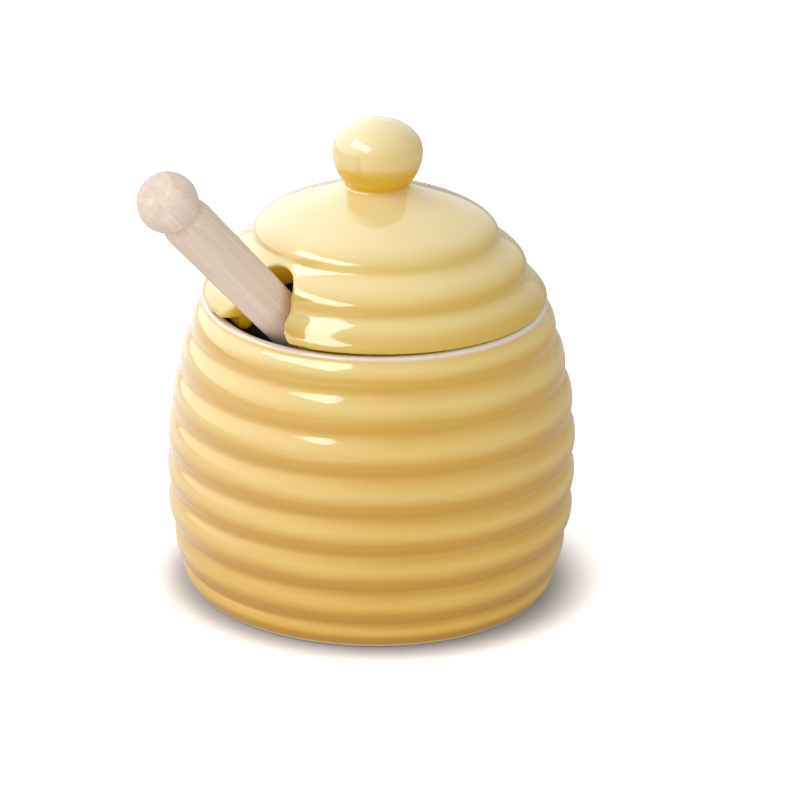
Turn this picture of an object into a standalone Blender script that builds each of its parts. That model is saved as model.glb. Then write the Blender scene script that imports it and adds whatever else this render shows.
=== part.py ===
"""Honey pot: a ribbed glazed pot, a lift-off lid with a notch in its edge, and a turned wooden dipper.

Metres, +Z up. The origin is on the pot's axis, in the flat underside that the pot stands on. The notch in the
lid, and the dipper that leans out through it, are on the -X side.
"""

import math

import bmesh
import bpy
from mathutils import Matrix, Vector
from mathutils.geometry import interpolate_bezier

MM = 0.001

# Gaps between pieces that touch on the real pot
SEAT_GAP = 0.3 * MM
REST_GAP = 0.3 * MM
FLANGE_CLEARANCE = 0.9 * MM

# Pot
POT_HEIGHT = 75.0 * MM
BELLY_RADIUS = 50.0 * MM
FOOT_INSET = 6.0 * MM
FOOT_RADIUS = BELLY_RADIUS - FOOT_INSET
FOOT_ROUND = 1.0 * MM
MOUTH_RADIUS = 37.9 * MM
MOUTH_DEPTH = 8.5 * MM
RIM_THICKNESS = 3.6 * MM
RIM_RADIUS = MOUTH_RADIUS + RIM_THICKNESS
RIM_ROUND = 1.2 * MM
WALL = 5.1 * MM
FLOOR = 5.0 * MM
FLOOR_ROUND = 5.0 * MM
FLOOR_FLARE = 15
GROOVE_DEPTH = 1.2 * MM
RIB_SHARPNESS = 2.25
# Top of each rib but the last, from the foot up, as a share of the pot's height
RIB_TOP_SHARES = (0.085, 0.209, 0.339, 0.465, 0.604, 0.739, 0.873)
# How far the lower ribs' crests stand out from the foot towards the belly, and the upper ribs' from the rim
LOWER_CREST_SHARES = (0.30, 0.64, 0.94, 1.0)
UPPER_CREST_SHARES = (0.99, 0.865, 0.60, 0.28)
RIB_STEP_SHARES = (0.0, 0.2, 0.5, 0.8)
# Where the inside is widest, as a share of the pot's height
INSIDE_BELLY_SHARE = 0.48
THROAT_PULL_SHARE = 0.17
BELLY_PULL_SHARE = 0.5

# Lid, with heights measured from its seat on the rim
LID_HEIGHT = 44.7 * MM
LIP_SETBACK = 0.3 * MM
LIP_RADIUS = RIM_RADIUS - LIP_SETBACK
LIP_GROOVE_INSET = 4.3 * MM
LIP_GROOVE_RISE = 6.8 * MM
DOME_EDGE_INSET = 11.4 * MM
DOME_EDGE_RISE = 15.1 * MM
DOME_TOP_RADIUS = 9.2 * MM
DOME_TOP_RISE = 26.6 * MM
CEILING_RISE = 22.2 * MM
FLANGE_DEPTH = 6.5 * MM
FLANGE_THICKNESS = 3.6 * MM
FLANGE_ROUND = 1.2 * MM
# Pull and angle from the upright of each bulge's curve, at its lower and at its upper end
LIP_LOWER_PULL = 1.7 * MM
LIP_UPPER_PULL = 3.7 * MM
LIP_ANGLES = (27, 25)
BAND_LOWER_PULL = 3.4 * MM
BAND_UPPER_PULL = 4.5 * MM
BAND_ANGLES = (5, 40)
DOME_LOWER_PULL = 4.4 * MM
DOME_UPPER_PULL = 9.0 * MM
DOME_ANGLES = (12, 65)
CEILING_LOWER_PULL = 11.7 * MM
CEILING_UPPER_PULL = 18.0 * MM

# Knob, one clay body with the lid
KNOB_RADIUS = 11.0 * MM
KNOB_CENTRE_RISE = 35.9 * MM
KNOB_LOWER_DEPTH = 11.2 * MM
KNOB_NECK_ANGLE = 42
NECK_RADIUS = 7.3 * MM

# Notch in the lid's edge
NOTCH_SIDE_GAP = 3.5 * MM
NOTCH_CROWN_GAP = 3.2 * MM
NOTCH_CROWN_INSET = 9.4 * MM
NOTCH_DEPTH = 11.8 * MM
NOTCH_SLOPE = 30
OVERRUN = 5.0 * MM

# Dipper, with lengths measured from its tip along its axis
DIPPER_LENGTH = 151.7 * MM
HEAD_WALL_GAP = 1.88 * MM
LEAN_LIMITS = (10, 75)
BALL_RADIUS = 7.3 * MM
BALL_FLAT_RADIUS = 4.6 * MM
BALL_NECK_RADIUS = 4.7 * MM
BALL_NECK_WIDTH = 0.3 * MM
SHOULDER_LENGTH = 4.2 * MM
SHAFT_TOP_RADIUS = 6.25 * MM
SHAFT_FOOT_RADIUS = 5.1 * MM
HEAD_LENGTH = 37.0 * MM
HEAD_RADIUS = 12.2 * MM
HEAD_END_RADIUS = 8.6 * MM
HEAD_GROOVE_RADIUS = 6.4 * MM
HEAD_RIDGES = 6
RIDGE_WIDTH_SHARE = 0.62
RIDGE_ROUND_SHARE = 0.5
TIP_RADIUS = 5.0 * MM

# Faces around each turned piece, and steps along its curves
TURNS = 56
DIPPER_TURNS = 24
ROUND_STEPS = 3
BULGE_STEPS = 6
INSIDE_STEPS = 5
KNOB_STEPS = 6
ARCH_STEPS = 12
SETTLE_STEPS = 4
LEAN_STEPS = 24
WELD_GAP = 0.001 * MM
SMOOTH_ANGLE = 40


def clear_scene():
    for old in list(bpy.data.objects):
        bpy.data.objects.remove(old)


def make_material(name, colour, roughness):
    material = bpy.data.materials.new(name)
    material.use_nodes = True
    shader = material.node_tree.nodes["Principled BSDF"]
    shader.inputs["Base Color"].default_value = (*colour, 1.0)
    shader.inputs["Roughness"].default_value = roughness
    shader.inputs["Metallic"].default_value = 0.0
    return material


def arc(centre, radius, start, end, steps):
    """Points of a round edge in the profile, from one angle to another in degrees."""
    angles = [math.radians(start + (end - start) * i / steps) for i in range(steps + 1)]
    return [centre + Vector((radius * math.cos(a), radius * math.sin(a))) for a in angles]


def bulge(low, high, pulls, angles, steps):
    """Points of a swelling from one profile point up to another, bowed outwards."""
    lower_pull, upper_pull = pulls
    lower, upper = (math.radians(angle) for angle in angles)
    low_handle = low + lower_pull * Vector((math.sin(lower), math.cos(lower)))
    high_handle = high + upper_pull * Vector((math.sin(upper), -math.cos(upper)))
    return list(interpolate_bezier(low, low_handle, high_handle, high, steps + 1))


def turned(name, profile, turns, material):
    """A solid made by turning a profile, whose two ends are on the axis, about +Z."""
    bm = bmesh.new()
    points = [bm.verts.new((p.x, 0, p.y)) for p in profile]
    edges = [bm.edges.new(pair) for pair in zip(points, points[1:])]
    bmesh.ops.spin(
        bm, geom=points + edges, cent=(0, 0, 0), axis=(0, 0, 1), angle=math.tau, steps=turns
    )
    bmesh.ops.remove_doubles(bm, verts=bm.verts, dist=WELD_GAP)
    bmesh.ops.recalc_face_normals(bm, faces=bm.faces)
    mesh = bpy.data.meshes.new(name)
    bm.to_mesh(mesh)
    bm.free()
    mesh.materials.append(material)
    mesh.shade_smooth()
    mesh.set_sharp_from_angle(angle=math.radians(SMOOTH_ANGLE))
    piece = bpy.data.objects.new(name, mesh)
    bpy.context.scene.collection.objects.link(piece)
    return piece


def rib_profile():
    """Outside of the pot from the foot up: one bulge for each rib, with a soft groove between ribs."""
    crests = [FOOT_RADIUS + (BELLY_RADIUS - FOOT_RADIUS) * share for share in LOWER_CREST_SHARES]
    crests += [RIM_RADIUS + (BELLY_RADIUS - RIM_RADIUS) * share for share in UPPER_CREST_SHARES]
    heights = [FOOT_ROUND, *(share * POT_HEIGHT for share in RIB_TOP_SHARES), POT_HEIGHT - RIM_ROUND]
    grooves = [(a + b) / 2 - GROOVE_DEPTH for a, b in zip(crests, crests[1:])]
    ends = [FOOT_RADIUS, *grooves, RIM_RADIUS]
    points = []
    for i, crest in enumerate(crests):
        swell = crest - (ends[i] + ends[i + 1]) / 2
        for t in RIB_STEP_SHARES:
            radius = ends[i] + (ends[i + 1] - ends[i]) * t
            radius += swell * (1 - abs(2 * t - 1) ** RIB_SHARPNESS)
            points.append(Vector((radius, heights[i] + (heights[i + 1] - heights[i]) * t)))
    points.append(Vector((RIM_RADIUS, POT_HEIGHT - RIM_ROUND)))
    return points


def inside_profile():
    """Inside of the pot from the mouth's throat down to the middle of the floor."""
    throat = Vector((MOUTH_RADIUS, POT_HEIGHT - MOUTH_DEPTH))
    widest = Vector((BELLY_RADIUS - WALL, POT_HEIGHT * INSIDE_BELLY_SHARE))
    corner = Vector((FOOT_RADIUS - WALL, FLOOR + FLOOR_ROUND))
    upper_reach = (throat - widest).length
    lower_pull = (widest - corner).length * BELLY_PULL_SHARE
    upper_pulls = (upper_reach * BELLY_PULL_SHARE, upper_reach * THROAT_PULL_SHARE)
    return [
        *bulge(widest, throat, upper_pulls, (0, 0), INSIDE_STEPS)[::-1],
        *bulge(corner, widest, (lower_pull, lower_pull), (FLOOR_FLARE, 0), INSIDE_STEPS)[-2::-1],
        *arc(corner - Vector((FLOOR_ROUND, 0)), FLOOR_ROUND, 0, -90, ROUND_STEPS)[1:],
        Vector((0, FLOOR)),
    ]


def pot_profile():
    return [
        Vector((0, 0)),
        *arc(Vector((FOOT_RADIUS - FOOT_ROUND, FOOT_ROUND)), FOOT_ROUND, -90, 0, ROUND_STEPS)[:-1],
        *rib_profile(),
        *arc(Vector((RIM_RADIUS - RIM_ROUND, POT_HEIGHT - RIM_ROUND)), RIM_ROUND, 0, 90, ROUND_STEPS)[1:],
        *arc(Vector((MOUTH_RADIUS + RIM_ROUND, POT_HEIGHT - RIM_ROUND)), RIM_ROUND, 90, 180, ROUND_STEPS),
        *inside_profile(),
    ]


def lid_profile():
    seat = POT_HEIGHT + SEAT_GAP
    flange_outer = MOUTH_RADIUS - FLANGE_CLEARANCE
    flange_inner = flange_outer - FLANGE_THICKNESS
    flange_foot = seat - FLANGE_DEPTH + FLANGE_ROUND
    lip_foot = Vector((LIP_RADIUS, seat))
    lip_groove = Vector((LIP_RADIUS - LIP_GROOVE_INSET, seat + LIP_GROOVE_RISE))
    dome_edge = Vector((LIP_RADIUS - DOME_EDGE_INSET, seat + DOME_EDGE_RISE))
    dome_top = Vector((DOME_TOP_RADIUS, seat + DOME_TOP_RISE))
    ceiling_edge = Vector((flange_inner, seat))
    ceiling_top = Vector((0, seat + CEILING_RISE))
    ceiling = interpolate_bezier(
        ceiling_edge,
        ceiling_edge + Vector((0, CEILING_LOWER_PULL)),
        ceiling_top + Vector((CEILING_UPPER_PULL, 0)),
        ceiling_top,
        BULGE_STEPS + 2,
    )
    knob = knob_profile(seat)
    neck_corner = Vector((NECK_RADIUS, (dome_top.y + knob[0].y) / 2))
    neck = interpolate_bezier(dome_top, neck_corner, neck_corner, knob[0], ROUND_STEPS + 2)
    return [
        *list(ceiling)[::-1],
        *arc(Vector((flange_inner + FLANGE_ROUND, flange_foot)), FLANGE_ROUND, 180, 270, ROUND_STEPS),
        *arc(Vector((flange_outer - FLANGE_ROUND, flange_foot)), FLANGE_ROUND, 270, 360, ROUND_STEPS),
        Vector((flange_outer, seat)),
        *bulge(lip_foot, lip_groove, (LIP_LOWER_PULL, LIP_UPPER_PULL), LIP_ANGLES, BULGE_STEPS),
        *bulge(lip_groove, dome_edge, (BAND_LOWER_PULL, BAND_UPPER_PULL), BAND_ANGLES, BULGE_STEPS)[1:],
        *bulge(dome_edge, dome_top, (DOME_LOWER_PULL, DOME_UPPER_PULL), DOME_ANGLES, BULGE_STEPS)[1:],
        *neck[1:-1],
        *knob,
    ]


def knob_profile(seat):
    """The knob's egg shape, narrow end down, from its neck to its top."""
    centre = seat + KNOB_CENTRE_RISE
    upper_depth = LID_HEIGHT - KNOB_CENTRE_RISE
    points = []
    for i in range(2 * KNOB_STEPS + 1):
        angle = math.radians(-KNOB_NECK_ANGLE + (KNOB_NECK_ANGLE + 90) * i / (2 * KNOB_STEPS))
        depth = KNOB_LOWER_DEPTH if angle < 0 else upper_depth
        points.append(Vector((KNOB_RADIUS * math.cos(angle), centre + depth * math.sin(angle))))
    points[-1].x = 0
    return points


def notch_cutter(dipper):
    """An arch-shaped bar round the dipper's handle, which rises outwards as the lid's wall leans inwards."""
    rise = math.tan(math.radians(NOTCH_SLOPE))
    crown_radius = LIP_RADIUS - NOTCH_CROWN_INSET
    lean = dipper.matrix_world.to_euler().y
    tip = dipper.matrix_world.translation
    up = (crown_radius + tip.x) / math.sin(-lean)
    handle = shaft_radius(up)
    half_width = handle + NOTCH_SIDE_GAP
    crown = tip.z + up * math.cos(lean) + (handle + NOTCH_CROWN_GAP) / math.sin(-lean)
    inner_radius = crown_radius - NOTCH_DEPTH
    reach = LIP_RADIUS + OVERRUN - inner_radius
    spring = crown - NOTCH_DEPTH * rise - half_width
    foot = POT_HEIGHT + SEAT_GAP - FLANGE_DEPTH - OVERRUN - reach * rise
    outline = arc(Vector((0, spring)), half_width, 0, 180, ARCH_STEPS)
    outline += [Vector((-half_width, foot)), Vector((half_width, foot))]
    bm = bmesh.new()
    face = bm.faces.new([bm.verts.new((-inner_radius, p.x, p.y)) for p in outline])
    far = bmesh.ops.extrude_face_region(bm, geom=[face])["geom"]
    far_points = [v for v in far if isinstance(v, bmesh.types.BMVert)]
    bmesh.ops.translate(bm, verts=far_points, vec=(-reach, 0, reach * rise))
    bmesh.ops.recalc_face_normals(bm, faces=bm.faces)
    mesh = bpy.data.meshes.new("notch_cutter")
    bm.to_mesh(mesh)
    bm.free()
    cutter = bpy.data.objects.new("notch_cutter", mesh)
    bpy.context.scene.collection.objects.link(cutter)
    cutter.hide_render = True
    cutter.display_type = "WIRE"
    return cutter


def ball_height():
    flat_depth = math.sqrt(BALL_RADIUS**2 - BALL_FLAT_RADIUS**2)
    return DIPPER_LENGTH - flat_depth


def neck_height():
    return ball_height() - math.sqrt(BALL_RADIUS**2 - BALL_NECK_RADIUS**2)


def shoulder_height():
    return neck_height() - BALL_NECK_WIDTH - SHOULDER_LENGTH


def shaft_radius(up):
    """Radius of the dipper's tapered handle at a distance up from its tip."""
    along = (up - HEAD_LENGTH) / (shoulder_height() - HEAD_LENGTH)
    return SHAFT_FOOT_RADIUS + (SHAFT_TOP_RADIUS - SHAFT_FOOT_RADIUS) * along


def head_profile():
    """The grooved head from its tip up: round-edged ridges inside an egg-shaped outline."""
    points = [Vector((0, 0)), Vector((TIP_RADIUS, 0))]
    pitch = HEAD_LENGTH / HEAD_RIDGES
    half = HEAD_LENGTH / 2
    for i in range(HEAD_RIDGES):
        middle = (i + 0.5) * pitch
        away = abs(middle - half) / (half - pitch / 2)
        radius = HEAD_RADIUS - (HEAD_RADIUS - HEAD_END_RADIUS) * away**2
        edge = pitch * RIDGE_WIDTH_SHARE / 2
        soft = edge * RIDGE_ROUND_SHARE
        if i:
            points.append(Vector((HEAD_GROOVE_RADIUS, middle - edge)))
        points.append(Vector((radius - soft, middle - edge)))
        points.append(Vector((radius, middle - soft)))
        points.append(Vector((radius, middle + soft)))
        points.append(Vector((radius - soft, middle + edge)))
        points.append(Vector((HEAD_GROOVE_RADIUS, middle + edge)))
    return points


def dipper_profile():
    """The whole dipper, upright with its tip at the origin."""
    shoulder = shoulder_height()
    neck = neck_height()
    ball = ball_height()
    low = math.degrees(math.asin(-math.sqrt(1 - (BALL_NECK_RADIUS / BALL_RADIUS) ** 2)))
    high = math.degrees(math.acos(BALL_FLAT_RADIUS / BALL_RADIUS))
    shoulder_steps = []
    for i in range(1, ROUND_STEPS + 1):
        angle = math.pi / 2 * i / ROUND_STEPS
        radius = BALL_NECK_RADIUS + (SHAFT_TOP_RADIUS - BALL_NECK_RADIUS) * math.cos(angle)
        shoulder_steps.append(Vector((radius, shoulder + SHOULDER_LENGTH * math.sin(angle))))
    return [
        *head_profile(),
        Vector((SHAFT_FOOT_RADIUS, HEAD_LENGTH)),
        Vector((SHAFT_TOP_RADIUS, shoulder)),
        *shoulder_steps,
        Vector((BALL_NECK_RADIUS, neck)),
        *arc(Vector((0, ball)), BALL_RADIUS, low, high, KNOB_STEPS + ROUND_STEPS)[1:],
        Vector((0, DIPPER_LENGTH)),
    ]


def tip_place(profile, lean):
    """The dipper's tip when it leans at an angle, with its head on the floor and its handle on the rim."""
    lowest = max(p.x * math.sin(lean) - p.y * math.cos(lean) for p in profile)
    tip_z = FLOOR + REST_GAP + lowest
    rim = Vector((-(MOUTH_RADIUS + RIM_ROUND), POT_HEIGHT - RIM_ROUND))
    up = (rim.y - tip_z) / math.cos(lean)
    for _ in range(SETTLE_STEPS):
        away = RIM_ROUND + REST_GAP + shaft_radius(up)
        tip_x = rim.x + (away + (rim.y - tip_z) * math.sin(lean)) / math.cos(lean)
        up = (rim.y - tip_z) * math.cos(lean) - (rim.x - tip_x) * math.sin(lean)
    return Vector((tip_x, tip_z))


def wall_radius(height):
    """Radius of the pot's inside at a height."""
    wall = inside_profile()
    for upper, lower in zip(wall, wall[1:]):
        if upper.y >= height >= lower.y:
            return lower.x + (upper.x - lower.x) * (height - lower.y) / (upper.y - lower.y)
    return MOUTH_RADIUS


def wall_gap(profile, lean):
    """Least distance, along X, from the dipper's head to the pot's wall on the side away from the notch."""
    tip = tip_place(profile, lean)
    turn = Matrix.Rotation(lean, 2)
    head = [tip + turn @ p for p in profile if p.y <= HEAD_LENGTH]
    return min(wall_radius(p.y) - p.x for p in head)


def dipper_place(profile):
    """The dipper at rest: it leans until its head is nearly against the wall opposite the notch."""
    low, high = (math.radians(limit) for limit in LEAN_LIMITS)
    for _ in range(LEAN_STEPS):
        middle = (low + high) / 2
        if wall_gap(profile, middle) > HEAD_WALL_GAP:
            low = middle
        else:
            high = middle
    tip = tip_place(profile, low)
    return Matrix.Translation((tip.x, 0, tip.y)) @ Matrix.Rotation(-low, 4, "Y")


def build():
    clear_scene()
    glaze = make_material("yellow_glaze", (0.86, 0.62, 0.22), 0.12)
    wood = make_material("pale_wood", (0.66, 0.52, 0.40), 0.6)
    turned("pot", pot_profile(), TURNS, glaze)
    profile = dipper_profile()
    dipper = turned("dipper", profile, DIPPER_TURNS, wood)
    dipper.matrix_world = dipper_place(profile)
    lid = turned("lid", lid_profile(), TURNS, glaze)
    cut = lid.modifiers.new("notch", "BOOLEAN")
    cut.operation = "DIFFERENCE"
    cut.solver = "EXACT"
    cut.object = notch_cutter(dipper)


build()
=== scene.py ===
import math

import bpy
from mathutils import Matrix, Vector
from mathutils.bvhtree import BVHTree
from mathutils.geometry import interpolate_bezier


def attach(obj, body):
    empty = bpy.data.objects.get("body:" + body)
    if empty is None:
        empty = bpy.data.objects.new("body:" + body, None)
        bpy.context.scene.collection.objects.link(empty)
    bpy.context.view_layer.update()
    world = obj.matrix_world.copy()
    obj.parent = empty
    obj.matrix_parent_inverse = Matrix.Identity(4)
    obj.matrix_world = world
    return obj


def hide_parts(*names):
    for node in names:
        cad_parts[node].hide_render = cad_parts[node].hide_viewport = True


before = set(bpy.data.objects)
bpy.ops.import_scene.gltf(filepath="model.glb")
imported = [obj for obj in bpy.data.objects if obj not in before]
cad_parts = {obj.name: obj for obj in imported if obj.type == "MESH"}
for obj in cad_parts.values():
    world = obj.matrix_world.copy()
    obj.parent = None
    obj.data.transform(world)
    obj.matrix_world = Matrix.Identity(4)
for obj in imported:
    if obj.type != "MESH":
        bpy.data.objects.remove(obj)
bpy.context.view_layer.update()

MM = 0.001

# Pot
POT_HEIGHT = 75.0 * MM
BELLY_RADIUS = 50.0 * MM
FOOT_RADIUS = 44.0 * MM
FOOT_ROUND = 1.0 * MM
MOUTH_RADIUS = 37.9 * MM
MOUTH_DEPTH = 8.5 * MM
RIM_RADIUS = 41.9 * MM
RIM_HEIGHT = 74.0 * MM
RIM_ROUND = 1.2 * MM
RIM_INNER_ROUND = 2.8 * MM
RIM_DIP = 0.6 * MM
RIM_DIP_REACH = 55.0 * MM
RIM_PICK_REACH = (0.01 * MM, 1.0 * MM, 0.1 * MM)
WALL = 5.1 * MM
FLOOR = 5.0 * MM
FLOOR_ROUND = 5.0 * MM
FLOOR_FLARE = 15
GROOVE_DEPTH = 1.2 * MM
RIB_FULLNESS = 2.6
GROOVE_SOFTNESS = 1.4
RIB_TOP_SHARES = (0.085, 0.209, 0.339, 0.465, 0.604, 0.739, 0.873)
LOWER_CREST_SHARES = (0.30, 0.64, 0.94, 1.0)
UPPER_CREST_SHARES = (0.99, 0.858, 0.585, 0.262)
INSIDE_BELLY_SHARE = 0.48
THROAT_PULL_SHARE = 0.17
BELLY_PULL_SHARE = 0.5

# Lid, with heights measured from its seat on the rim
SEAT = POT_HEIGHT + 0.3 * MM
LID_HEIGHT = 44.7 * MM
LIP_RADIUS = 41.9 * MM
LIP_DROP = 0.65 * MM
LIP_GROOVE = Vector((36.9, 6.8)) * MM
DOME_EDGE = Vector((29.8, 15.1)) * MM
DOME_TOP = Vector((9.2, 26.6)) * MM
CEILING_RISE = 12.0 * MM
CEILING_PULLS = (4.5 * MM, 17.0 * MM)
FLANGE_RADIUS = 37.0 * MM
FLANGE_DEPTH = 4.6 * MM
FLANGE_THICKNESS = 3.6 * MM
FLANGE_ROUND = 1.7 * MM
LIP_PULLS, LIP_ANGLES = (1.7 * MM, 3.7 * MM), (27, 25)
BAND_PULLS, BAND_ANGLES = (3.4 * MM, 4.5 * MM), (5, 40)
DOME_PULLS, DOME_ANGLES = (4.4 * MM, 9.0 * MM), (12, 65)
KNOB_RADIUS = 11.0 * MM
KNOB_CENTRE_RISE = 35.9 * MM
KNOB_UPPER_DEPTH = 7.9 * MM
KNOB_LOWER_DEPTH = 11.2 * MM
KNOB_NECK_ANGLE = 42
NECK_RADIUS = 7.3 * MM

# Notch in the lid's edge
NOTCH_HALF_WIDTH = 7.8 * MM
NOTCH_CROWN_RADIUS = 31.1 * MM
NOTCH_CROWN_HEIGHT = 89.2 * MM
NOTCH_ARCH_HEIGHT = 14.8 * MM
NOTCH_FLARE = (7.0 * MM, 9.4 * MM)
NOTCH_INNER_RADIUS = 16.0 * MM
NOTCH_SLOPE = 44.6
NOTCH_OVERRUN = 5.0 * MM
SOFT_EDGE_REACH = 1.8 * MM
SOFT_EDGE_FADE = 1.4 * MM
SOFT_EDGE_STRENGTH = 0.5
SOFT_EDGE_PASSES = 12
# How far off the turned form the notch's cut walls take the bright glaze, a painted light
NOTCH_PAINTED_LIGHT_DEPTH = 1.5 * MM

# Dipper, with lengths measured from its tip along its axis
DIPPER_LEAN = 44.608
DIPPER_TIP = Vector((34.248, 0.0, 9.834)) * MM
DIPPER_LENGTH = 151.7 * MM
BALL_RADIUS = 7.3 * MM
BALL_FLAT_RADIUS = 4.6 * MM
BALL_NECK_RADIUS = 4.7 * MM
BALL_NECK_WIDTH = 0.3 * MM
SHOULDER_LENGTH = 4.2 * MM
SHAFT_TOP_RADIUS = 6.25 * MM
SHAFT_FOOT_RADIUS = 5.1 * MM
CRISP_EDGE_ANGLE = 40
HEAD_LENGTH = 37.0 * MM
HEAD_RADIUS = 12.2 * MM
HEAD_END_RADIUS = 8.6 * MM
HEAD_GROOVE_RADIUS = 6.4 * MM
HEAD_RIDGES = 6
RIDGE_WIDTH_SHARE = 0.62
RIDGE_ROUND_SHARE = 0.5
TIP_RADIUS = 5.0 * MM

# Fineness of the finished surfaces
POT_TURNS = 240
LID_TURNS = 200
DIPPER_TURNS = 80
BAR_STEPS = 40
RIB_STEPS = 18
CURVE_STEPS = 24
ROUND_STEPS = 8
WELD_GAP = 0.001 * MM
CLAY_VOXEL = 0.55 * MM

# Glazes, each at the top and at the foot of its piece: where it runs thinner, and where it gathers. The
# paler tops and deeper feet are partly the glaze itself, partly painted light at the top and painted shade
# towards the foot
POT_THIN_GLAZE_AND_PAINTED_LIGHT = ((0.85, 0.645, 0.23), (0.80, 0.51, 0.09))
POT_GATHERED_GLAZE_AND_PAINTED_SHADE = ((0.70, 0.385, 0.022), (0.55, 0.255, 0.008))
# The lid's paler top is partly the glaze and partly a painted sheen on the dome
LID_THIN_GLAZE_AND_PAINTED_SHEEN = ((0.90, 0.75, 0.37), (0.86, 0.67, 0.24))
LID_GATHERED_GLAZE_AND_PAINTED_SHADE = ((0.72, 0.48, 0.06), (0.67, 0.41, 0.04))
# Deep yellow at the knob's neck and underside and on the flange: partly glaze that gathers at the neck,
# partly painted shade under the knob and on the flange under the lip
DEEP_GLAZE_AND_PAINTED_SHADE = (0.76, 0.43, 0.014)
# Inside the notch: brighter than real glaze, a painted light in place of light that does not reach in there
NOTCH_PAINTED_LIGHT_GLAZE = (0.98, 0.62, 0.03)
WHITE_GLAZE = (0.90, 0.84, 0.77)
BARE_CLAY = (0.70, 0.62, 0.52)

# How much the glaze gathers and how much shade is painted on: by share of each rib's height on the pot, by
# height over the seat on the lid. On the pot the colour is deepest on each rib's downward-facing underside
# just above its groove and palest on its upward-facing upper part, which is painted shade and painted light,
# with some glaze pooling at the grooves
FOOT_GATHERING_AND_PAINTED_SHADE = 0.5
RIB_GATHERING_AND_PAINTED_SHADE = ((0.18, 1.0), (0.66, 0.0), (1.0, 0.5))
# On the lid the colour is deepest under the lip, on the lower part of each band and under the knob: painted
# shade, with some glaze pooling by the grooves
LID_GATHERING_AND_PAINTED_SHADE = (
    (-FLANGE_DEPTH, 0.9),
    (0.5 * MM, 1.0),
    (5.0 * MM, 0.1),
    (7.8 * MM, 0.8),
    (12.8 * MM, 0.0),
    (16.4 * MM, 0.5),
    (20.5 * MM, 0.0),
    (26.0 * MM, 0.0),
    (29.0 * MM, 1.0),
    (35.0 * MM, 0.3),
    (LID_HEIGHT, 0.0),
)
# Where the deep yellow lies: on the flange and under the knob, painted shade with some glaze at the knob's
# neck
LID_DEEP_GLAZE_AND_PAINTED_SHADE = (
    (-FLANGE_DEPTH, 1.0),
    (-0.9 * MM, 1.0),
    (-0.4 * MM, 0.0),
    (26.8 * MM, 0.0),
    (28.2 * MM, 1.0),
    (31.0 * MM, 0.85),
    (35.5 * MM, 0.0),
)
WHITE_RIM_SHARES = (0.965, 0.982)
BARE_FOOT_SHARES = (0.006, 0.012)
INWARD_FACING = -0.00002

# Glaze surface: clouds, throwing rings and ripple, each noise with its scale and detail
CLOUD_NOISE = (45, 3)
CLOUD_SHARE = 0.3
RING_NOISE = (60, 2)
RING_FLATNESS = 9
RING_SHARE = 0.24
MIDDLE_TONE = (CLOUD_SHARE + RING_SHARE) / 2
RIPPLE_NOISE = (90, 2)
RIPPLE_DEPTH = 0.05 * MM
RIPPLE_STRENGTH = 1.0
GLAZE_ROUGHNESS = 0.6
GLAZE_SHEEN = 0.1
COAT_ROUGHNESS = 0.07
COAT_IOR = 1.5

# Wood: dark and pale grain with the noise levels where each begins, and each noise's scale and detail
FINE_GRAIN = ((0.35, (0.76, 0.60, 0.47, 1)), (0.62, (0.91, 0.78, 0.66, 1)))
BROAD_GRAIN = ((0.38, (0.78, 0.62, 0.49, 1)), (0.65, (0.91, 0.78, 0.67, 1)))
FINE_GRAIN_NOISE = (1400, 4)
BROAD_GRAIN_NOISE = (300, 2)
GRAIN_STRETCH = 0.03
GRAIN_DEPTH = 0.03 * MM
GRAIN_STRENGTH = 0.6
WOOD_ROUGHNESS = 0.6
WOOD_SHEEN = 0.15

# Camera, placed by its distance from the pot and its angles
CAMERA_DISTANCE = 1.3
CAMERA_AZIMUTH = -45.2
CAMERA_PITCH = 21.547
CAMERA_ROLL = 1.311
CAMERA_AIM = (6.78 * MM, 46.794 * MM)
CAMERA_LENS = 238.895
CAMERA_SENSOR = 36
CAMERA_CLIP = 0.05

# Floor: its paper, how white it is seen at the foot and further out, with a painted shadow ring at the foot,
# and where glaze mirrors that white, a painted reflection on the left side
FLOOR_WIDTH = 12.0
FLOOR_GAP = 0.05 * MM
FLOOR_PAPER = (0.80, 0.80, 0.82)
FLOOR_ROUGHNESS = 0.9
# Painted shadow: the ring round the foot where the floor is seen darker
FLOOR_PAINTED_SHADOW_REACH = (0.042, 0.061)
FLOOR_PAINTED_SHADOW_AND_WHITE = ((0.52, 0.55, 0.63), (2.10, 2.15, 2.26))
# Painted reflection: the side of the floor that glossy rays see as bright white
FLOOR_PAINTED_REFLECTION_SIDE = (-0.02, 0.16)

# Light: the background's white, the room's level, and the soft glow in the glaze
WHITE_LEVEL = 1.0
ROOM_LEVEL = 0.50
MIRRORED_LEVEL = 0.3
GLOW_PLACE = (-112, 38)
GLOW_LEVEL = 4.2
GLOW_FADE = 3.0
LAMP_AIM_HEIGHT = 0.08

# Lamps: name, azimuth, elevation, distance, size, radiance, and whether matt and glossy surfaces show them
LAMPS = (
    ("front_scrim", -12, 8, 1.6, (1.2, 1.0), 2.0, True, False),
    ("right_scrim", 65, 12, 1.4, (0.9, 0.9), 1.0, True, False),
    ("left_softbox", -62, 45, 0.9, (0.80, 0.44), 2.4, True, False),
    ("left_softbox_gleam", -60, 49, 0.86, (0.84, 0.32), 8.5, False, True),
)


def deselect_all():
    bpy.ops.object.select_all(action="DESELECT")


def select_only(piece):
    deselect_all()
    piece.select_set(True)
    bpy.context.view_layer.objects.active = piece


def arc(centre, radius, start, end, steps):
    angles = [math.radians(start + (end - start) * i / steps) for i in range(steps + 1)]
    return [centre + Vector((radius * math.cos(a), radius * math.sin(a))) for a in angles]


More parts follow.
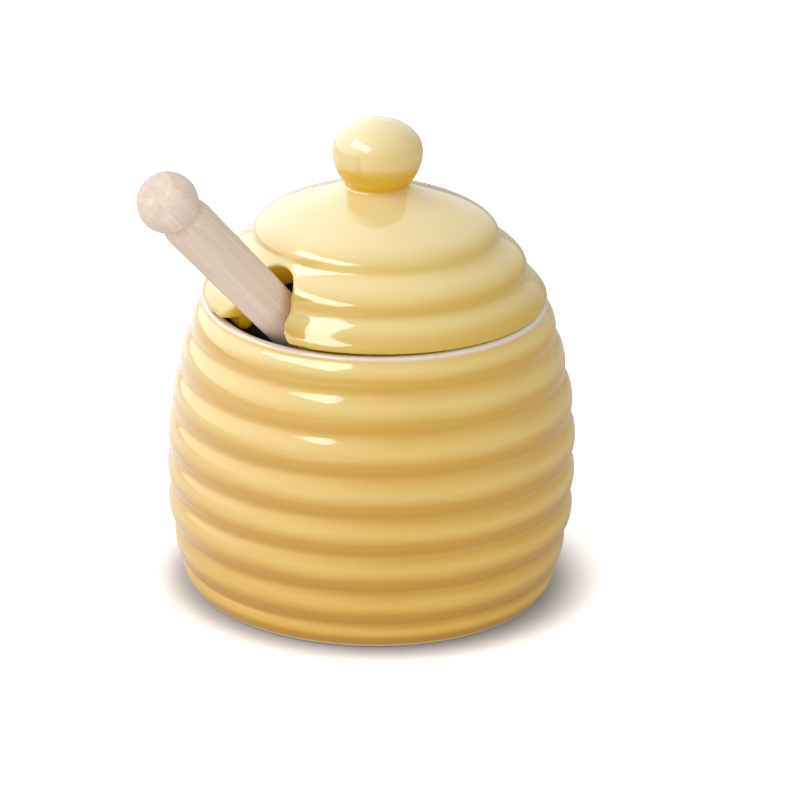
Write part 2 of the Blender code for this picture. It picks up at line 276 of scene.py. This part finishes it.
def bulge(low, high, pulls, angles, steps):
    lower, upper = (math.radians(angle) for angle in angles)
    low_handle = low + pulls[0] * Vector((math.sin(lower), math.cos(lower)))
    high_handle = high + pulls[1] * Vector((math.sin(upper), -math.cos(upper)))
    return list(interpolate_bezier(low, low_handle, high_handle, high, steps + 1))


def turned(name, profile, turns):
    """A piece drawn as half its outline, point by point, and spun about its axis."""
    deselect_all()
    bpy.ops.mesh.primitive_plane_add(size=MM, location=(0, 0, 0))
    piece = bpy.context.active_object
    piece.name = name
    piece.data.name = name
    bpy.ops.object.mode_set(mode="EDIT")
    bpy.ops.mesh.select_all(action="SELECT")
    bpy.ops.mesh.merge(type="CENTER")
    bpy.ops.transform.translate(value=(profile[0].x, 0, profile[0].y))
    for here, there in zip(profile, profile[1:]):
        step = (there.x - here.x, 0, there.y - here.y)
        bpy.ops.mesh.extrude_region_move(TRANSFORM_OT_translate={"value": step})
    bpy.ops.mesh.select_all(action="SELECT")
    bpy.ops.mesh.spin(steps=turns, angle=math.tau, center=(0, 0, 0), axis=(0, 0, 1))
    bpy.ops.mesh.select_all(action="SELECT")
    bpy.ops.mesh.remove_doubles(threshold=WELD_GAP)
    bpy.ops.mesh.normals_make_consistent(inside=False)
    bpy.ops.mesh.faces_shade_smooth()
    bpy.ops.object.mode_set(mode="OBJECT")
    return piece


def rib_profile():
    crests = [FOOT_RADIUS + (BELLY_RADIUS - FOOT_RADIUS) * share for share in LOWER_CREST_SHARES]
    crests += [RIM_RADIUS + (BELLY_RADIUS - RIM_RADIUS) * share for share in UPPER_CREST_SHARES]
    heights = [FOOT_ROUND, *(share * POT_HEIGHT for share in RIB_TOP_SHARES), RIM_HEIGHT - RIM_ROUND]
    grooves = [(a + b) / 2 - GROOVE_DEPTH for a, b in zip(crests, crests[1:])]
    ends = [FOOT_RADIUS, *grooves, RIM_RADIUS]
    points = []
    for i, crest in enumerate(crests):
        swell = crest - (ends[i] + ends[i + 1]) / 2
        for step in range(RIB_STEPS):
            t = step / RIB_STEPS
            radius = ends[i] + (ends[i + 1] - ends[i]) * t
            radius += swell * (1 - abs(2 * t - 1) ** RIB_FULLNESS) ** GROOVE_SOFTNESS
            points.append(Vector((radius, heights[i] + (heights[i + 1] - heights[i]) * t)))
    points.append(Vector((RIM_RADIUS, RIM_HEIGHT - RIM_ROUND)))
    return points


def inside_profile():
    throat = Vector((MOUTH_RADIUS, POT_HEIGHT - MOUTH_DEPTH))
    widest = Vector((BELLY_RADIUS - WALL, POT_HEIGHT * INSIDE_BELLY_SHARE))
    corner = Vector((FOOT_RADIUS - WALL, FLOOR + FLOOR_ROUND))
    upper_reach = (throat - widest).length
    lower_pull = (widest - corner).length * BELLY_PULL_SHARE
    upper_pulls = (upper_reach * BELLY_PULL_SHARE, upper_reach * THROAT_PULL_SHARE)
    return [
        *bulge(widest, throat, upper_pulls, (0, 0), CURVE_STEPS)[::-1],
        *bulge(corner, widest, (lower_pull, lower_pull), (FLOOR_FLARE, 0), CURVE_STEPS)[-2::-1],
        *arc(corner - Vector((FLOOR_ROUND, 0)), FLOOR_ROUND, 0, -90, ROUND_STEPS)[1:],
        Vector((0, FLOOR)),
    ]


def pot_profile():
    rim_outer = Vector((RIM_RADIUS - RIM_ROUND, RIM_HEIGHT - RIM_ROUND))
    rim_inner = Vector((MOUTH_RADIUS + RIM_INNER_ROUND, RIM_HEIGHT - RIM_INNER_ROUND))
    return [
        Vector((0, 0)),
        *arc(Vector((FOOT_RADIUS - FOOT_ROUND, FOOT_ROUND)), FOOT_ROUND, -90, 0, ROUND_STEPS)[:-1],
        *rib_profile(),
        *arc(rim_outer, RIM_ROUND, 0, 90, ROUND_STEPS)[1:],
        *arc(rim_inner, RIM_INNER_ROUND, 90, 180, ROUND_STEPS),
        *inside_profile(),
    ]


def make_pot():
    """The turned pot, with its rim a little lower under the notch."""
    pot = turned("stoneware_pot", pot_profile(), POT_TURNS)
    crest = RIM_RADIUS - RIM_ROUND
    outwards, sideways, down = RIM_PICK_REACH

    def under_notch(point):
        x, y, z = point.co
        return x < outwards - crest and abs(y) < sideways and z > RIM_HEIGHT - down

    pick_points(pot, under_notch)
    bpy.ops.transform.translate(
        value=(0, 0, -RIM_DIP),
        use_proportional_edit=True,
        proportional_edit_falloff="SMOOTH",
        proportional_size=RIM_DIP_REACH,
    )
    bpy.ops.object.mode_set(mode="OBJECT")
    return pot


def knob_profile():
    centre = SEAT + KNOB_CENTRE_RISE
    points = []
    for i in range(2 * CURVE_STEPS + 1):
        angle = math.radians(-KNOB_NECK_ANGLE + (KNOB_NECK_ANGLE + 90) * i / (2 * CURVE_STEPS))
        depth = KNOB_LOWER_DEPTH if angle < 0 else KNOB_UPPER_DEPTH
        points.append(Vector((KNOB_RADIUS * math.cos(angle), centre + depth * math.sin(angle))))
    points[-1].x = 0
    return points


def lid_profile():
    rise = Vector((0, SEAT))
    flange_inner = FLANGE_RADIUS - FLANGE_THICKNESS
    flange_foot = SEAT - FLANGE_DEPTH + FLANGE_ROUND
    ceiling_edge = Vector((flange_inner, SEAT))
    ceiling_top = Vector((0, SEAT + CEILING_RISE))
    ceiling = interpolate_bezier(
        ceiling_edge,
        ceiling_edge + Vector((0, CEILING_PULLS[0])),
        ceiling_top + Vector((CEILING_PULLS[1], 0)),
        ceiling_top,
        2 * CURVE_STEPS,
    )
    knob = knob_profile()
    dome_top = DOME_TOP + rise
    neck_corner = Vector((NECK_RADIUS, (dome_top.y + knob[0].y) / 2))
    neck = interpolate_bezier(dome_top, neck_corner, neck_corner, knob[0], CURVE_STEPS)
    return [
        *list(ceiling)[::-1],
        *arc(Vector((flange_inner + FLANGE_ROUND, flange_foot)), FLANGE_ROUND, 180, 270, ROUND_STEPS),
        *arc(Vector((FLANGE_RADIUS - FLANGE_ROUND, flange_foot)), FLANGE_ROUND, 270, 360, ROUND_STEPS),
        Vector((FLANGE_RADIUS, SEAT - LIP_DROP)),
        *bulge(Vector((LIP_RADIUS, SEAT - LIP_DROP)), LIP_GROOVE + rise, LIP_PULLS, LIP_ANGLES, CURVE_STEPS),
        *bulge(LIP_GROOVE + rise, DOME_EDGE + rise, BAND_PULLS, BAND_ANGLES, CURVE_STEPS)[1:],
        *bulge(DOME_EDGE + rise, dome_top, DOME_PULLS, DOME_ANGLES, CURVE_STEPS)[1:],
        *neck[1:-1],
        *knob,
    ]


def ball_height():
    return DIPPER_LENGTH - math.sqrt(BALL_RADIUS**2 - BALL_FLAT_RADIUS**2)


def neck_height():
    return ball_height() - math.sqrt(BALL_RADIUS**2 - BALL_NECK_RADIUS**2)


def shoulder_height():
    return neck_height() - BALL_NECK_WIDTH - SHOULDER_LENGTH


def head_profile():
    points = [Vector((0, 0)), Vector((TIP_RADIUS, 0))]
    pitch = HEAD_LENGTH / HEAD_RIDGES
    half = HEAD_LENGTH / 2
    for i in range(HEAD_RIDGES):
        middle = (i + 0.5) * pitch
        away = abs(middle - half) / (half - pitch / 2)
        radius = HEAD_RADIUS - (HEAD_RADIUS - HEAD_END_RADIUS) * away**2
        edge = pitch * RIDGE_WIDTH_SHARE / 2
        soft = edge * RIDGE_ROUND_SHARE
        if i:
            points.append(Vector((HEAD_GROOVE_RADIUS, middle - edge)))
        points += arc(Vector((radius - soft, middle - edge + soft)), soft, -90, 0, ROUND_STEPS)
        points += arc(Vector((radius - soft, middle + edge - soft)), soft, 0, 90, ROUND_STEPS)
        points.append(Vector((HEAD_GROOVE_RADIUS, middle + edge)))
    return points


def dipper_profile():
    low = -math.degrees(math.acos(BALL_NECK_RADIUS / BALL_RADIUS))
    high = math.degrees(math.acos(BALL_FLAT_RADIUS / BALL_RADIUS))
    shoulder = []
    for i in range(1, ROUND_STEPS + 1):
        angle = math.pi / 2 * i / ROUND_STEPS
        radius = BALL_NECK_RADIUS + (SHAFT_TOP_RADIUS - BALL_NECK_RADIUS) * math.cos(angle)
        shoulder.append(Vector((radius, shoulder_height() + SHOULDER_LENGTH * math.sin(angle))))
    return [
        *head_profile(),
        Vector((SHAFT_FOOT_RADIUS, HEAD_LENGTH)),
        Vector((SHAFT_TOP_RADIUS, shoulder_height())),
        *shoulder,
        Vector((BALL_NECK_RADIUS, neck_height())),
        *arc(Vector((0, ball_height())), BALL_RADIUS, low, high, 2 * CURVE_STEPS)[1:],
        Vector((0, DIPPER_LENGTH)),
    ]


def apply_modifiers(piece):
    select_only(piece)
    for modifier in list(piece.modifiers):
        bpy.ops.object.modifier_apply(modifier=modifier.name)


def pick_points(piece, test):
    """Selects the points of a piece that pass a test, in edit mode."""
    select_only(piece)
    bpy.ops.object.mode_set(mode="EDIT")
    bpy.ops.mesh.select_mode(type="VERT")
    bpy.ops.mesh.select_all(action="DESELECT")
    bpy.ops.object.mode_set(mode="OBJECT")
    for point in piece.data.vertices:
        point.select = test(point)
    bpy.ops.object.mode_set(mode="EDIT")


def notch_outline(steps):
    """One side of the notch's upright section at the lip: half widths and heights, from the crown down."""
    reach = LIP_RADIUS - NOTCH_CROWN_RADIUS
    crown = NOTCH_CROWN_HEIGHT + reach * math.tan(math.radians(NOTCH_SLOPE))
    spring = crown - NOTCH_ARCH_HEIGHT
    wide, tall = NOTCH_FLARE
    half = steps // 2
    points = []
    for i in range(half + 1):
        angle = math.pi / 2 * i / half
        points.append((NOTCH_HALF_WIDTH * math.sin(angle), spring + NOTCH_ARCH_HEIGHT * math.cos(angle)))
    for i in range(1, steps - half - 1):
        angle = math.pi / 2 * i / (steps - half - 2)
        points.append((NOTCH_HALF_WIDTH + wide * (1 - math.cos(angle)), spring - tall * math.sin(angle)))
    foot = SEAT - FLANGE_DEPTH - NOTCH_OVERRUN
    return [*points, (NOTCH_HALF_WIDTH + wide, foot), (0, foot)]


def make_notch_bar():
    """A long arch with a flared foot, as wide as the notch, that rises outwards beside the dipper."""
    rise = math.tan(math.radians(NOTCH_SLOPE))
    reach = LIP_RADIUS + NOTCH_OVERRUN - NOTCH_INNER_RADIUS
    outline = notch_outline(BAR_STEPS)
    sides = 2 * BAR_STEPS
    deselect_all()
    bpy.ops.mesh.primitive_cylinder_add(
        vertices=sides,
        radius=NOTCH_HALF_WIDTH,
        depth=reach,
        location=(-NOTCH_INNER_RADIUS - reach / 2, 0, 0),
        rotation=(0, math.pi / 2, 0),
    )
    bar = bpy.context.active_object
    bpy.ops.object.transform_apply(location=True, rotation=True, scale=True)
    places = [point.co.copy() for point in bar.data.vertices]
    for i, place in enumerate(places):
        turn = math.atan2(abs(place.y), place.z) / math.tau * sides
        width, height = outline[round(turn)]
        outward = -place.x - LIP_RADIUS
        target = Vector((place.x, math.copysign(width, place.y), height + outward * rise))
        pick_points(bar, lambda point: point.index == i)
        bpy.ops.transform.translate(value=target - place)
        bpy.ops.object.mode_set(mode="OBJECT")
    return bar


def surface_tree(piece):
    """A piece's faces, laid out so that distances from its surface are quick to find."""
    places = [point.co for point in piece.data.vertices]
    return BVHTree.FromPolygons(places, [face.vertices for face in piece.data.polygons])


def distance_from(tree, point):
    return tree.find_nearest(point.co)[3]


def make_lid():
    """The turned lid with its notch cut and softened, and all else drawn back to the turned form."""
    form = turned("lid_form", lid_profile(), LID_TURNS)
    select_only(form)
    bpy.ops.object.duplicate()
    lid = bpy.context.active_object
    lid.name = "stoneware_lid"
    lid.data.name = "stoneware_lid"
    bar = make_notch_bar()
    bar_tree = surface_tree(bar)
    cut = lid.modifiers.new("notch", "BOOLEAN")
    cut.operation = "DIFFERENCE"
    cut.solver = "EXACT"
    cut.object = bar
    clay = lid.modifiers.new("clay", "REMESH")
    clay.mode = "VOXEL"
    clay.voxel_size = CLAY_VOXEL
    clay.use_smooth_shade = True
    apply_modifiers(lid)
    near = lid.vertex_groups.new(name="near_notch")
    away = lid.vertex_groups.new(name="away")
    for point in lid.data.vertices:
        share = min(max((distance_from(bar_tree, point) - SOFT_EDGE_REACH) / SOFT_EDGE_FADE, 0.0), 1.0)
        share = share * share * (3 - 2 * share)
        near.add([point.index], 1 - share, "REPLACE")
        away.add([point.index], share, "REPLACE")
    soft = lid.modifiers.new("soft_edge", "SMOOTH")
    soft.factor = SOFT_EDGE_STRENGTH
    soft.iterations = SOFT_EDGE_PASSES
    soft.vertex_group = "near_notch"
    wrap = lid.modifiers.new("form", "SHRINKWRAP")
    wrap.target = form
    wrap.wrap_method = "NEAREST_SURFACEPOINT"
    wrap.vertex_group = "away"
    apply_modifiers(lid)
    form_tree = surface_tree(form)
    # Painted light: how far each point lies off the turned form, so that the notch's cut walls take the
    # bright glaze
    notch_light_share = lid.data.attributes.new("painted_notch_light", "FLOAT", "POINT")
    for point in lid.data.vertices:
        notch_light_share.data[point.index].value = min(distance_from(form_tree, point) / NOTCH_PAINTED_LIGHT_DEPTH, 1.0)
    for spare in (form, bar):
        bpy.data.objects.remove(spare)
    return lid


def make_dipper():
    dipper = turned("wooden_dipper", dipper_profile(), DIPPER_TURNS)
    dipper.rotation_euler = (0, -math.radians(DIPPER_LEAN), 0)
    dipper.location = DIPPER_TIP
    select_only(dipper)
    bpy.ops.object.transform_apply(location=True, rotation=True, scale=True)
    bpy.ops.object.shade_smooth_by_angle(angle=math.radians(CRISP_EDGE_ANGLE))
    return dipper


def new_material(name):
    material = bpy.data.materials.new(name)
    material.use_nodes = True
    nodes = material.node_tree.nodes
    return material, nodes, material.node_tree.links, nodes["Principled BSDF"]


def feed(links, socket, value):
    """Links a socket to another, or sets it, with a colour's last part filled in."""
    if isinstance(value, bpy.types.NodeSocket):
        links.new(value, socket)
    elif isinstance(value, tuple) and len(value) < len(socket.default_value):
        socket.default_value = (*value, 1)
    else:
        socket.default_value = value


def make_math(nodes, links, operation, *values, clamp=False):
    node = nodes.new("ShaderNodeMath")
    node.operation = operation
    node.use_clamp = clamp
    for socket, value in zip(node.inputs, values):
        feed(links, socket, value)
    return node.outputs[0]


def make_vector_math(nodes, links, operation, output, *values):
    node = nodes.new("ShaderNodeVectorMath")
    node.operation = operation
    for socket, value in zip(node.inputs, values):
        feed(links, socket, value)
    return node.outputs[output]


def make_range(nodes, links, value, low, high, interpolation="LINEAR"):
    node = nodes.new("ShaderNodeMapRange")
    node.interpolation_type = interpolation
    node.inputs["From Min"].default_value = low
    node.inputs["From Max"].default_value = high
    links.new(value, node.inputs["Value"])
    return node.outputs[0]


def make_noise(nodes, links, place, scale, detail):
    node = nodes.new("ShaderNodeTexNoise")
    node.inputs["Scale"].default_value = scale
    node.inputs["Detail"].default_value = detail
    links.new(place, node.inputs["Vector"])
    return node.outputs["Fac"]


def make_ramp(nodes, links, value, stops, interpolation="EASE"):
    node = nodes.new("ShaderNodeValToRGB")
    node.color_ramp.interpolation = interpolation
    elements = node.color_ramp.elements
    elements.remove(elements[-1])
    for i, (place, level) in enumerate(stops):
        element = elements[0] if i == 0 else elements.new(place)
        element.position = place
        element.color = level if isinstance(level, tuple) else (level, level, level, 1)
    links.new(value, node.inputs[0])
    return node.outputs["Color"]


def make_mix(nodes, links, factor, first, second):
    node = nodes.new("ShaderNodeMix")
    node.data_type = "RGBA"
    for index, value in ((0, factor), (6, first), (7, second)):
        feed(links, node.inputs[index], value)
    return node.outputs[2]


def make_shader_mix(nodes, links, factor, first, second):
    node = nodes.new("ShaderNodeMixShader")
    for socket, value in zip(node.inputs, (factor, first, second)):
        links.new(value, socket)
    return node.outputs[0]


def make_bump(nodes, links, height, depth, strength):
    node = nodes.new("ShaderNodeBump")
    node.inputs["Strength"].default_value = strength
    node.inputs["Distance"].default_value = depth
    links.new(height, node.inputs["Height"])
    return node.outputs[0]


def make_glaze(name, low, high, stops, thin_glaze_and_painted_light, gathered_glaze_and_painted_shade):
    """Clear-coated yellow glaze: pale where the glaze runs thinner and where light is painted on, deeper
    where it gathers and where shade is painted on.
    """
    material, nodes, links, shader = new_material(name)
    place = nodes.new("ShaderNodeTexCoord").outputs["Object"]
    split = nodes.new("ShaderNodeSeparateXYZ")
    links.new(place, split.inputs[0])
    height = make_range(nodes, links, split.outputs["Z"], low, high)
    # Painted shade and glaze that gathers: how far the colour goes from pale to deep
    gathering_and_painted_shade = make_ramp(nodes, links, height, stops)
    clouds = make_noise(nodes, links, place, *CLOUD_NOISE)
    flattened = nodes.new("ShaderNodeMapping")
    flattened.inputs["Scale"].default_value = (1, 1, RING_FLATNESS)
    links.new(place, flattened.inputs["Vector"])
    rings = make_noise(nodes, links, flattened.outputs[0], *RING_NOISE)
    tone = make_math(nodes, links, "MULTIPLY_ADD", rings, RING_SHARE, gathering_and_painted_shade)
    tone = make_math(nodes, links, "MULTIPLY_ADD", clouds, CLOUD_SHARE, tone, clamp=True)
    tone = make_math(nodes, links, "SUBTRACT", tone, MIDDLE_TONE, clamp=True)
    # Paler towards the top and deeper towards the foot: partly the glaze, partly painted light at the top
    # and painted shade lower down
    pale_and_painted_light = make_mix(nodes, links, height, *reversed(thin_glaze_and_painted_light))
    deeper_and_painted_shade = make_mix(nodes, links, height, *reversed(gathered_glaze_and_painted_shade))
    colour = make_mix(nodes, links, tone, pale_and_painted_light, deeper_and_painted_shade)
    ripple = make_noise(nodes, links, place, *RIPPLE_NOISE)
    normal = make_bump(nodes, links, ripple, RIPPLE_DEPTH, RIPPLE_STRENGTH)
    links.new(normal, shader.inputs["Normal"])
    links.new(normal, shader.inputs["Coat Normal"])
    shader.inputs["Roughness"].default_value = GLAZE_ROUGHNESS
    shader.inputs["Specular IOR Level"].default_value = GLAZE_SHEEN
    shader.inputs["Coat Weight"].default_value = 1.0
    shader.inputs["Coat Roughness"].default_value = COAT_ROUGHNESS
    shader.inputs["Coat IOR"].default_value = COAT_IOR
    return material, place, height, colour


def make_pot_glaze():
    """Yellow outside, white on the rim and inside, and wiped to bare clay at the foot."""
    tops = [FOOT_ROUND, *(share * POT_HEIGHT for share in RIB_TOP_SHARES), POT_HEIGHT - RIM_ROUND]
    # Each rib is deepest on its downward-facing underside and palest on its upward-facing upper part:
    # painted shade and painted light, with some glaze pooling at the grooves
    stops = [(0.0, FOOT_GATHERING_AND_PAINTED_SHADE)]
    for low, high in zip(tops, tops[1:]):
        for share, depth in RIB_GATHERING_AND_PAINTED_SHADE:
            stops.append(((low + (high - low) * share) / POT_HEIGHT, depth))
    material, place, height, colour = make_glaze(
        "yellow_pot_glaze", 0, POT_HEIGHT, stops, POT_THIN_GLAZE_AND_PAINTED_LIGHT, POT_GATHERED_GLAZE_AND_PAINTED_SHADE
    )
    nodes, links = material.node_tree.nodes, material.node_tree.links
    start, end = WHITE_RIM_SHARES
    rim = make_ramp(nodes, links, height, [(0.0, 0.0), (start, 0.0), (end, 1.0)])
    level_place = make_vector_math(nodes, links, "MULTIPLY", 0, place, (1.0, 1.0, 0.0))
    normal = nodes.new("ShaderNodeNewGeometry").outputs["Normal"]
    outward = make_vector_math(nodes, links, "DOT_PRODUCT", 1, level_place, normal)
    inside = make_math(nodes, links, "LESS_THAN", outward, INWARD_FACING)
    white = make_math(nodes, links, "MAXIMUM", rim, inside)
    colour = make_mix(nodes, links, white, colour, WHITE_GLAZE)
    start, end = BARE_FOOT_SHARES
    foot = make_ramp(nodes, links, height, [(0.0, 1.0), (start, 1.0), (end, 0.0)])
    colour = make_mix(nodes, links, foot, colour, BARE_CLAY)
    links.new(colour, nodes["Principled BSDF"].inputs["Base Color"])
    return material


def make_lid_glaze():
    """Yellow all over, with a deep yellow at the knob's neck and underside and on the flange, partly the
    glaze and partly painted shade, and inside the notch a bright deep yellow that is painted light.
    """
    low, high = SEAT - FLANGE_DEPTH, SEAT + LID_HEIGHT

    def by_share(gathering_and_shade_stops):
        return [((rise + FLANGE_DEPTH) / (high - low), depth) for rise, depth in gathering_and_shade_stops]

    material, _, height, colour = make_glaze(
        "yellow_lid_glaze", low, high, by_share(LID_GATHERING_AND_PAINTED_SHADE), LID_THIN_GLAZE_AND_PAINTED_SHEEN, LID_GATHERED_GLAZE_AND_PAINTED_SHADE
    )
    nodes, links = material.node_tree.nodes, material.node_tree.links
    # Painted shade under the knob and on the flange, with some glaze at the knob's neck
    deep = make_ramp(nodes, links, height, by_share(LID_DEEP_GLAZE_AND_PAINTED_SHADE))
    colour = make_mix(nodes, links, deep, colour, DEEP_GLAZE_AND_PAINTED_SHADE)
    # Painted light on the notch's cut walls
    notch_light_share = nodes.new("ShaderNodeAttribute")
    notch_light_share.attribute_name = "painted_notch_light"
    colour = make_mix(nodes, links, notch_light_share.outputs["Fac"], colour, NOTCH_PAINTED_LIGHT_GLAZE)
    links.new(colour, nodes["Principled BSDF"].inputs["Base Color"])
    return material


def make_wood():
    """Pale turned wood, with fine straight grain along the stick."""
    material, nodes, links, shader = new_material("pale_turned_wood")
    lean = math.radians(DIPPER_LEAN)
    upright = nodes.new("ShaderNodeMapping")
    upright.inputs["Rotation"].default_value = (0, lean, 0)
    upright.inputs["Location"].default_value = -(Matrix.Rotation(lean, 3, "Y") @ DIPPER_TIP)
    links.new(nodes.new("ShaderNodeTexCoord").outputs["Object"], upright.inputs["Vector"])
    stretched = nodes.new("ShaderNodeMapping")
    stretched.inputs["Scale"].default_value = (1, 1, GRAIN_STRETCH)
    links.new(upright.outputs[0], stretched.inputs["Vector"])
    fine = make_noise(nodes, links, stretched.outputs[0], *FINE_GRAIN_NOISE)
    broad = make_noise(nodes, links, stretched.outputs[0], *BROAD_GRAIN_NOISE)
    fine_colour = make_ramp(nodes, links, fine, FINE_GRAIN, "LINEAR")
    broad_colour = make_ramp(nodes, links, broad, BROAD_GRAIN, "LINEAR")
    links.new(make_mix(nodes, links, 0.5, fine_colour, broad_colour), shader.inputs["Base Color"])
    links.new(make_bump(nodes, links, fine, GRAIN_DEPTH, GRAIN_STRENGTH), shader.inputs["Normal"])
    shader.inputs["Roughness"].default_value = WOOD_ROUGHNESS
    shader.inputs["Specular IOR Level"].default_value = WOOD_SHEEN
    return material


def make_floor():
    """A matt sheet that keeps the pot's shadow, and that is seen as plain white, with a painted shadow ring
    round the foot; glossy rays see its left side as bright white, a painted reflection.
    """
    deselect_all()
    bpy.ops.mesh.primitive_plane_add(size=FLOOR_WIDTH, location=(0, 0, -FLOOR_GAP))
    floor = bpy.context.active_object
    floor.name = "floor"
    material, nodes, links, paper = new_material("pale_floor")
    paper.inputs["Base Color"].default_value = (*FLOOR_PAPER, 1)
    paper.inputs["Roughness"].default_value = FLOOR_ROUGHNESS
    paper.inputs["Specular IOR Level"].default_value = 0.0
    place = nodes.new("ShaderNodeTexCoord").outputs["Object"]
    distance = make_vector_math(nodes, links, "LENGTH", 1, place)
    # Painted shadow: the floor is seen darker in a ring round the pot's foot
    past_painted_shadow = make_range(nodes, links, distance, *FLOOR_PAINTED_SHADOW_REACH, "SMOOTHSTEP")
    seen = nodes.new("ShaderNodeBsdfDiffuse")
    links.new(make_mix(nodes, links, past_painted_shadow, *FLOOR_PAINTED_SHADOW_AND_WHITE), seen.inputs["Color"])
    # Painted reflection: glossy rays see the floor's left side as bright white
    leftwards = make_vector_math(nodes, links, "DOT_PRODUCT", 1, place, beside_camera(-90, 0))
    side = make_range(nodes, links, leftwards, *FLOOR_PAINTED_REFLECTION_SIDE)
    path = nodes.new("ShaderNodeLightPath")
    painted_reflection = make_math(nodes, links, "MULTIPLY", path.outputs["Is Glossy Ray"], side)
    shown = make_math(nodes, links, "MAXIMUM", path.outputs["Is Camera Ray"], painted_reflection)
    surface = make_shader_mix(nodes, links, shown, paper.outputs[0], seen.outputs[0])
    links.new(surface, nodes["Material Output"].inputs["Surface"])
    floor.data.materials.append(material)


def make_world():
    """An even pale room, with a soft glow at the upper left that the glaze mirrors."""
    world = bpy.data.worlds.new("studio")
    bpy.context.scene.world = world
    world.use_nodes = True
    nodes, links = world.node_tree.nodes, world.node_tree.links
    nodes.remove(nodes["Background"])

    def make_background(level):
        background = nodes.new("ShaderNodeBackground")
        background.inputs["Color"].default_value = (1, 1, 1, 1)
        feed(links, background.inputs["Strength"], level)
        return background.outputs[0]

    direction = nodes.new("ShaderNodeTexCoord").outputs["Generated"]
    facing = make_vector_math(nodes, links, "DOT_PRODUCT", 1, direction, beside_camera(*GLOW_PLACE))
    near = make_range(nodes, links, facing, -1.0, 1.0)
    faded = make_math(nodes, links, "POWER", near, GLOW_FADE)
    glow = make_math(nodes, links, "MULTIPLY_ADD", faded, GLOW_LEVEL, MIRRORED_LEVEL)
    path = nodes.new("ShaderNodeLightPath")
    clear = make_math(
        nodes, links, "MAXIMUM", path.outputs["Is Camera Ray"], path.outputs["Is Transmission Ray"]
    )
    plain = make_shader_mix(nodes, links, clear, make_background(ROOM_LEVEL), make_background(WHITE_LEVEL))
    surface = make_shader_mix(nodes, links, path.outputs["Is Glossy Ray"], plain, make_background(glow))
    links.new(surface, nodes["World Output"].inputs["Surface"])


def beside_camera(azimuth, elevation):
    """Direction from the pot, with azimuth measured from the camera's side, positive to its right."""
    a = math.radians(CAMERA_AZIMUTH + azimuth)
    e = math.radians(elevation)
    return Vector((math.sin(a) * math.cos(e), -math.cos(a) * math.cos(e), math.sin(e)))


def make_lamp(name, azimuth, elevation, distance, size, radiance, matt, glossy):
    data = bpy.data.lights.new(name, "AREA")
    data.shape = "RECTANGLE"
    data.size, data.size_y = size
    data.energy = radiance * math.pi * size[0] * size[1]
    lamp = bpy.data.objects.new(name, data)
    bpy.context.scene.collection.objects.link(lamp)
    away = beside_camera(azimuth, elevation)
    lamp.location = away * distance + Vector((0, 0, LAMP_AIM_HEIGHT))
    lamp.rotation_mode = "QUATERNION"
    lamp.rotation_quaternion = away.to_track_quat("Z", "Y")
    lamp.visible_camera = False
    lamp.visible_diffuse = matt
    lamp.visible_glossy = glossy


def make_camera():
    azimuth, pitch, roll = (math.radians(a) for a in (CAMERA_AZIMUTH, CAMERA_PITCH, CAMERA_ROLL))
    right = Vector((math.cos(azimuth), math.sin(azimuth), 0))
    back = Vector((math.sin(azimuth), -math.cos(azimuth), 0))
    up = Vector((0, 0, 1))
    view_up = up * math.cos(pitch) - back * math.sin(pitch)
    away = back * math.cos(pitch) + up * math.sin(pitch)
    across = right * math.cos(roll) + view_up * math.sin(roll)
    upright = view_up * math.cos(roll) - right * math.sin(roll)
    data = bpy.data.cameras.new("camera")
    data.lens = CAMERA_LENS
    data.sensor_width = CAMERA_SENSOR
    camera = bpy.data.objects.new("camera", data)
    bpy.context.scene.collection.objects.link(camera)
    place = right * CAMERA_AIM[0] + up * CAMERA_AIM[1] + away * CAMERA_DISTANCE
    camera.matrix_world = Matrix.Translation(place) @ Matrix((across, upright, away)).transposed().to_4x4()
    data.clip_start = CAMERA_CLIP
    bpy.context.scene.camera = camera


def fit_piece(piece, material, body, node):
    piece.data.materials.clear()
    piece.data.materials.append(material)
    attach(piece, body)
    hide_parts(node)


make_camera()
fit_piece(make_pot(), make_pot_glaze(), "pot", "pot")
fit_piece(make_lid(), make_lid_glaze(), "lid", "lid")
fit_piece(make_dipper(), make_wood(), "dipper", "dipper")
make_floor()
make_world()
for lamp_settings in LAMPS:
    make_lamp(*lamp_settings)
bpy.context.scene.view_settings.view_transform = "Standard"
